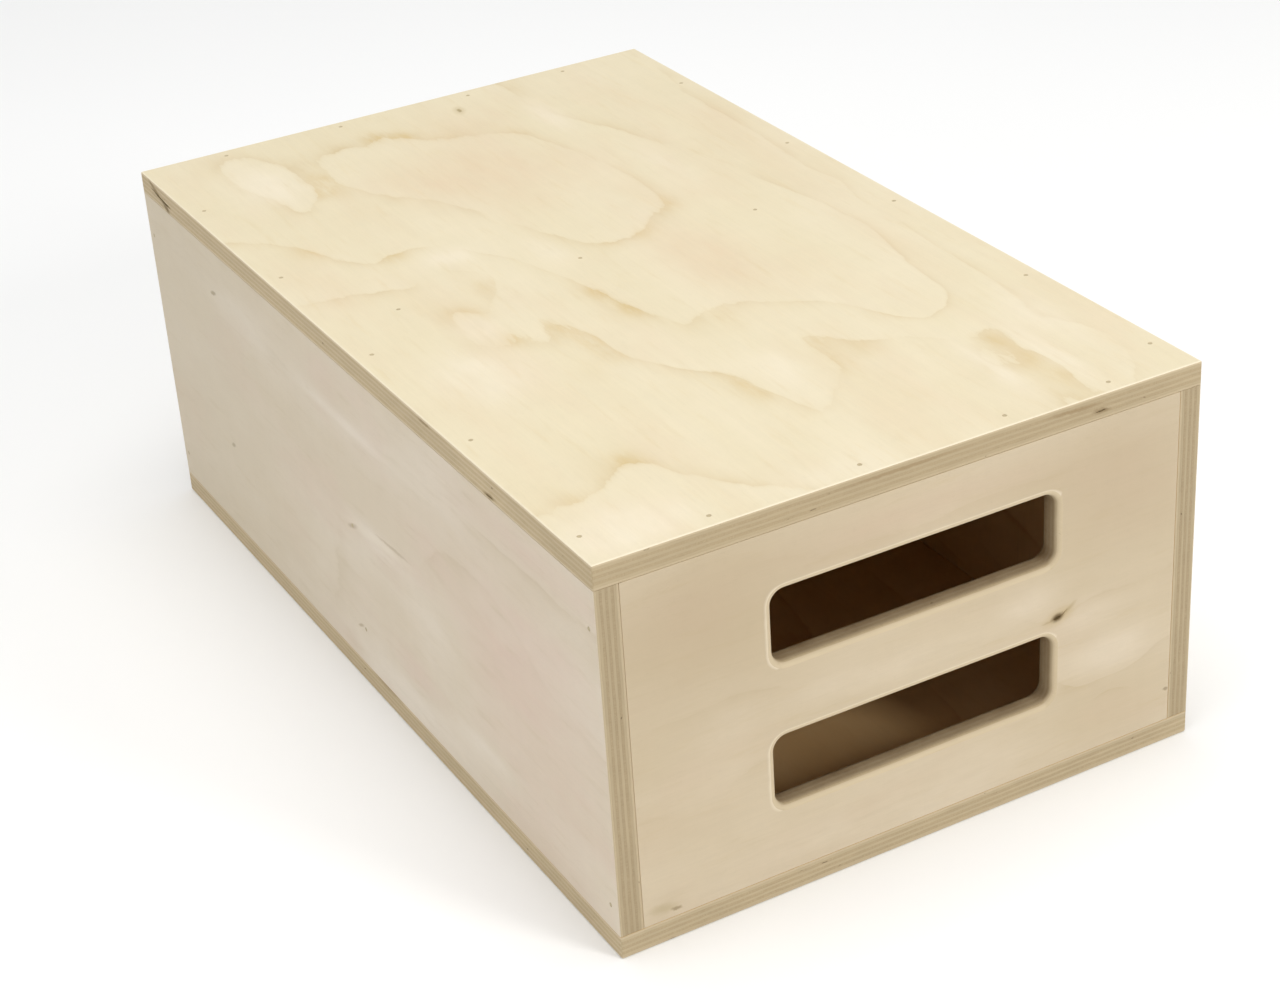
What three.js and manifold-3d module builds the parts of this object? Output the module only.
// Full-size apple box: a closed birch plywood box with two hand slots in each end.
//
// Millimetres. X runs along the length, Y across the width and Z up. The origin is the centre of the
// underside. Front is +X and rear is -X; left is -Y and right is +Y, as seen facing the front end.
// Seven panels are glued and brad-nailed: the top and bottom lie over the sides, the ends are let in
// between the other four, and an upright rib crosses the middle.

import * as THREE from 'three';
import { ConvexGeometry } from 'three/addons/geometries/ConvexGeometry.js';
import { mergeVertices } from 'three/addons/utils/BufferGeometryUtils.js';
import Module from 'manifold-3d';

// ---------------------------------------------------------------- box dimensions

const LENGTH = 508;          // X
const WIDTH = 305;           // Y
const HEIGHT = 195;          // Z
const PLY = 11.5;            // panel thickness: 12 mm nominal birch plywood
const GLUE = 0.1;            // glue line between two panels
const EASE = 0.9;            // sanded easing of the box's outer edges
const RIB_X = -6;            // middle of the rib's thickness

const HALF_LENGTH = LENGTH / 2;
const HALF_WIDTH = WIDTH / 2;
const CROSS_HALF_WIDTH = HALF_WIDTH - PLY - GLUE;   // ends and rib, fitted between the sides
const WALL_BOTTOM = PLY + GLUE;                     // sides, ends and rib
const WALL_TOP = HEIGHT - PLY - GLUE;

// ---------------------------------------------------------------- solids

const wasm = await Module();
wasm.setup();

function toSolid(geometry) {
  const bare = geometry.clone();
  for (const name of Object.keys(bare.attributes)) {
    if (name !== 'position') bare.deleteAttribute(name);
  }
  const merged = mergeVertices(bare, 1e-4);
  return new wasm.Manifold(new wasm.Mesh({
    numProp: 3,
    vertProperties: new Float32Array(merged.attributes.position.array),
    triVerts: new Uint32Array(merged.index.array),
  }));
}

// Flat-shaded geometry of a solid.
function toGeometry(solid) {
  const mesh = solid.getMesh();
  const indexed = new THREE.BufferGeometry();
  indexed.setAttribute('position',
    new THREE.BufferAttribute(new Float32Array(mesh.vertProperties), 3));
  indexed.setIndex(new THREE.BufferAttribute(new Uint32Array(mesh.triVerts), 1));
  const flat = indexed.toNonIndexed();
  flat.computeVertexNormals();
  return flat;
}

function boxBetween(low, high) {
  const size = high.map((value, axis) => value - low[axis]);
  const centre = high.map((value, axis) => (low[axis] + value) / 2);
  return toSolid(new THREE.BoxGeometry(...size).translate(...centre));
}

// The assembled box's envelope: a block whose twelve edges are eased in two small facets.
function easedBlock() {
  const points = [];
  const middle = Math.PI / 4;
  // Distances in from the two faces that meet at an edge, at three steps round the easing.
  const steps = [
    [0, EASE],
    [EASE * (1 - Math.cos(middle)), EASE * (1 - Math.sin(middle))],
    [EASE, 0],
  ];
  for (const sideX of [-1, 1]) for (const sideY of [-1, 1]) for (const sideZ of [-1, 1]) {
    const addPoint = (inX, inY, inZ) => points.push(new THREE.Vector3(
      sideX * (HALF_LENGTH - inX),
      sideY * (HALF_WIDTH - inY),
      sideZ * (HEIGHT / 2 - inZ) + HEIGHT / 2));
    for (const [first, second] of steps) {
      addPoint(first, second, EASE);
      addPoint(first, EASE, second);
      addPoint(EASE, first, second);
    }
  }
  return toSolid(new ConvexGeometry(points));
}

// ---------------------------------------------------------------- hand slots

const SLOT_LENGTH = 146;     // between the straight inner walls
const SLOT_HEIGHT = 35.4;
const SLOT_CORNER = 6.5;     // corner radius left by a half-inch router bit
const SLOT_ROUND = 2.8;      // round-over of the slot's edges, both faces
const SLOT_OVERRUN = 1;      // the cutter reaches this far past each face
const ROUND_STEPS = 3;
const CORNER_STEPS = 5;

// Height above the underside, and shift off the centre line to the right as seen from outside.
const SLOTS = [
  { z: 64.1, shift: 0.6 },
  { z: 136.3, shift: 1.9 },
];

// The slot's outline grown outwards, as [y, z] points about its centre.
function slotOutline(grow) {
  const radius = SLOT_CORNER + grow;
  const cornerY = SLOT_LENGTH / 2 - SLOT_CORNER;
  const cornerZ = SLOT_HEIGHT / 2 - SLOT_CORNER;
  const outline = [];
  [[1, 1], [-1, 1], [-1, -1], [1, -1]].forEach(([sideY, sideZ], corner) => {
    for (let i = 0; i <= CORNER_STEPS; i++) {
      const angle = (corner + i / CORNER_STEPS) * Math.PI / 2;
      outline.push([
        sideY * cornerY + radius * Math.cos(angle),
        sideZ * cornerZ + radius * Math.sin(angle),
      ]);
    }
  });
  return outline;
}

// A slot cutter through a panel from x = low to high, flared at both faces by the round-over.
function slotCutter(low, high, y, z) {
  const flare = Array.from({ length: ROUND_STEPS + 1 }, (_, i) => {
    const angle = (i / ROUND_STEPS) * Math.PI / 2;
    return {
      depth: SLOT_ROUND * (1 - Math.cos(angle)),
      grow: SLOT_ROUND * (1 - Math.sin(angle)),
    };
  });
  const rings = [
    { x: low - SLOT_OVERRUN, grow: SLOT_ROUND },
    ...flare.map(({ depth, grow }) => ({ x: low + depth, grow })),
    ...flare.map(({ depth, grow }) => ({ x: high - depth, grow })).reverse(),
    { x: high + SLOT_OVERRUN, grow: SLOT_ROUND },
  ];

  const position = [];
  for (const { x, grow } of rings) {
    for (const [outY, outZ] of slotOutline(grow)) position.push(x, y + outY, z + outZ);
  }
  const perRing = 4 * (CORNER_STEPS + 1);
  const index = [];
  for (let ring = 0; ring + 1 < rings.length; ring++) {
    for (let i = 0; i < perRing; i++) {
      const here = ring * perRing + i;
      const next = ring * perRing + (i + 1) % perRing;
      index.push(here, next, here + perRing, next, next + perRing, here + perRing);
    }
  }

  // Each end is closed by a fan about its centre.
  const lowCentre = rings.length * perRing;
  const highCentre = lowCentre + 1;
  const lastRing = (rings.length - 1) * perRing;
  position.push(rings[0].x, y, z, rings[rings.length - 1].x, y, z);
  for (let i = 0; i < perRing; i++) {
    const next = (i + 1) % perRing;
    index.push(lowCentre, next, i);
    index.push(highCentre, lastRing + i, lastRing + next);
  }

  const geometry = new THREE.BufferGeometry();
  geometry.setAttribute('position', new THREE.Float32BufferAttribute(position, 3));
  geometry.setIndex(index);
  return toSolid(geometry);
}

// ---------------------------------------------------------------- nail shapes

const SHANK_RADIUS = 0.6;    // 18 gauge brad
const HEAD_RADIUS = 0.9;
const HEAD_THICKNESS = 0.8;
const HEAD_TAPER = HEAD_RADIUS - SHANK_RADIUS;   // 45 degree cone under the head
const NAIL_LENGTH = 32;
const TIP_LENGTH = 2.5;
const NAIL_SET = 0.5;        // head driven this far below the surface
const NAIL_GAP = 0.3;        // room between a nail and the wood around it
const ROOM_ABOVE = 2;        // the room starts this far outside the surface
const ROOM_PAST_TIP = 1.2;
const NAIL_SIDES = 8;

// Turns a profile of [radius, y] points about Y. Profiles run along +Y, with the head's face at 0.
function turned(profile) {
  return new THREE.LatheGeometry(profile.map(([r, y]) => new THREE.Vector2(r, y)), NAIL_SIDES);
}

const nailShape = turned([
  [0, 0],
  [HEAD_RADIUS, 0],
  [HEAD_RADIUS, HEAD_THICKNESS],
  [SHANK_RADIUS, HEAD_THICKNESS + HEAD_TAPER],
  [SHANK_RADIUS, NAIL_LENGTH - TIP_LENGTH],
  [0, NAIL_LENGTH],
]);

// The room a nail needs: head and shank grown by the gap, open at the surface.
const nailRoom = turned([
  [0, -NAIL_SET - ROOM_ABOVE],
  [HEAD_RADIUS + NAIL_GAP, -NAIL_SET - ROOM_ABOVE],
  [HEAD_RADIUS + NAIL_GAP, HEAD_THICKNESS + NAIL_GAP],
  [SHANK_RADIUS + NAIL_GAP, HEAD_THICKNESS + NAIL_GAP + HEAD_TAPER],
  [SHANK_RADIUS + NAIL_GAP, NAIL_LENGTH + ROOM_PAST_TIP],
  [0, NAIL_LENGTH + ROOM_PAST_TIP],
]);

// Places a shape made along +Y so that it starts at a nail's head and runs along the nail.
function alongNail(shape, { head, direction }) {
  const turn = new THREE.Quaternion().setFromUnitVectors(new THREE.Vector3(0, 1, 0), direction);
  return shape.clone().applyQuaternion(turn).translate(head.x, head.y, head.z);
}

// ---------------------------------------------------------------- nail places

const nails = [];

// Adds a row of nails. place turns each entry into the point on the surface where the nail went in.
function addRow(name, direction, entries, place) {
  entries.forEach((entry, i) => {
    const head = new THREE.Vector3(...place(...entry)).addScaledVector(direction, NAIL_SET);
    nails.push({ name: `nail_${name}_${i + 1}`, head, direction });
  });
}

// Nails through the top or bottom.
// left, right: [x, distance in from the side]. front, rear: [y, distance in from the end].
// rib: [y, offset in X from the middle of the rib].
function addFaceNails(face, z, direction, rows) {
  const add = (edge, place) => addRow(`${face}_${edge}`, direction, rows[edge], place);
  add('left', (x, inset) => [x, -HALF_WIDTH + inset, z]);
  add('right', (x, inset) => [x, HALF_WIDTH - inset, z]);
  add('front', (y, inset) => [HALF_LENGTH - inset, y, z]);
  add('rear', (y, inset) => [-HALF_LENGTH + inset, y, z]);
  add('rib', (y, offset) => [RIB_X + offset, y, z]);
}

addFaceNails('top', HEIGHT, new THREE.Vector3(0, 0, -1), {
  left: [[-181, 8.1], [-78, 8.0], [27.7, 8.6], [130.2, 8.6], [230.3, 7.6]],
  right: [[-187, 7.4], [-74, 8.0], [25, 7.1], [136, 7.8], [227, 7.3]],
  front: [[-94, 8.0], [-21.2, 8.4], [52.7, 8.8], [107.2, 8.0]],
  rear: [[-106, 7.7], [-38, 7.2], [40, 8.2], [101, 7.6]],
  rib: [[-113.1, -3.6], [-15.3, -3.4], [84, -2.1]],
});
addFaceNails('bottom', 0, new THREE.Vector3(0, 0, 1), {
  left: [[-190, 7.5], [-64, 7.0], [68, 8.0], [192, 7.4]],
  right: [[-196, 7.2], [-58, 7.9], [61, 7.6], [198, 7.1]],
  front: [[-98, 7.3], [4, 8.0], [96, 7.4]],
  rear: [[-92, 7.6], [-3, 7.1], [101, 7.7]],
  rib: [[-78, 1.2], [82, -0.8]],
});

// Nails through a side, on the left (sideY = -1) or right (1).
// front, rear: [z, distance in from the end]. rib: [z, offset in X from the middle of the rib].
function addSideNails(side, sideY, rows) {
  const direction = new THREE.Vector3(0, -sideY, 0);
  const y = sideY * HALF_WIDTH;
  const add = (edge, place) => addRow(`${side}_${edge}`, direction, rows[edge], place);
  add('front', (z, inset) => [HALF_LENGTH - inset, y, z]);
  add('rear', (z, inset) => [-HALF_LENGTH + inset, y, z]);
  add('rib', (z, offset) => [RIB_X + offset, y, z]);
}

addSideNails('left', -1, {
  front: [[163.1, 6.3], [24.9, 6.9]],
  rear: [[160, 6.4], [26, 6.0]],
  rib: [[93.5, 3.5], [34.4, 3.8]],
});
addSideNails('right', 1, {
  front: [[161, 6.3], [27, 6.9]],
  rear: [[165, 6.4], [24, 6.0]],
  rib: [[98, 3.5], [37, 3.8]],
});

// ---------------------------------------------------------------- panels

const envelope = easedBlock();
const rooms = nails.map((nail) => toSolid(alongNail(nailRoom, nail)));

// Takes out the room of every nail that reaches the panel.
function drilled(blank) {
  const panel = blank.boundingBox();
  const reaches = (room) => {
    const { min, max } = room.boundingBox();
    return [0, 1, 2].every((axis) => panel.max[axis] >= min[axis] && max[axis] >= panel.min[axis]);
  };
  return rooms.filter(reaches).reduce((solid, room) => solid.subtract(room), blank);
}

function board(low, high) {
  return boxBetween(low, high).intersect(envelope);
}

// The top or bottom, between two heights.
function coverPanel(low, high) {
  return drilled(board([-HALF_LENGTH, -HALF_WIDTH, low], [HALF_LENGTH, HALF_WIDTH, high]));
}

// A side, between two Y places.
function sidePanel(low, high) {
  return drilled(board([-HALF_LENGTH, low, WALL_BOTTOM], [HALF_LENGTH, high, WALL_TOP]));
}

// An end, between two X places.
function endPanel(low, high) {
  const blank = board(
    [low, -CROSS_HALF_WIDTH, WALL_BOTTOM],
    [high, CROSS_HALF_WIDTH, WALL_TOP]);
  const slotted = SLOTS.reduce((solid, { z, shift }) => (
    solid.subtract(slotCutter(low, high, shift * Math.sign(low + high), z))), blank);
  return drilled(slotted);
}

function centreRib() {
  return drilled(boxBetween(
    [RIB_X - PLY / 2, -CROSS_HALF_WIDTH, WALL_BOTTOM],
    [RIB_X + PLY / 2, CROSS_HALF_WIDTH, WALL_TOP]));
}

// ---------------------------------------------------------------- the box

const box = new THREE.Group();
box.name = 'apple_box';

function addMesh(name, geometry, finish) {
  const mesh = new THREE.Mesh(geometry, new THREE.MeshStandardMaterial(finish));
  mesh.name = name;
  box.add(mesh);
}

function addPanel(name, solid, finish) {
  addMesh(name, toGeometry(solid), { ...finish, metalness: 0 });
}

addPanel('top_panel', coverPanel(HEIGHT - PLY, HEIGHT), { color: 0xecdfbe, roughness: 0.62 });
addPanel('bottom_panel', coverPanel(0, PLY), { color: 0xe2d2ae, roughness: 0.66 });
addPanel('left_side_panel', sidePanel(-HALF_WIDTH, -HALF_WIDTH + PLY),
  { color: 0xcdc1ac, roughness: 0.66 });
addPanel('right_side_panel', sidePanel(HALF_WIDTH - PLY, HALF_WIDTH),
  { color: 0xd3c6ae, roughness: 0.66 });
addPanel('front_end_panel', endPanel(HALF_LENGTH - PLY, HALF_LENGTH),
  { color: 0xd2c1a5, roughness: 0.64 });
addPanel('rear_end_panel', endPanel(-HALF_LENGTH, -HALF_LENGTH + PLY),
  { color: 0xd6c6a8, roughness: 0.64 });
addPanel('centre_rib', centreRib(), { color: 0xcbb994, roughness: 0.7 });

const NAIL_STEEL = { color: 0x8a8680, roughness: 0.45, metalness: 0.85 };
for (const nail of nails) addMesh(nail.name, alongNail(nailShape, nail), NAIL_STEEL);

export default box;
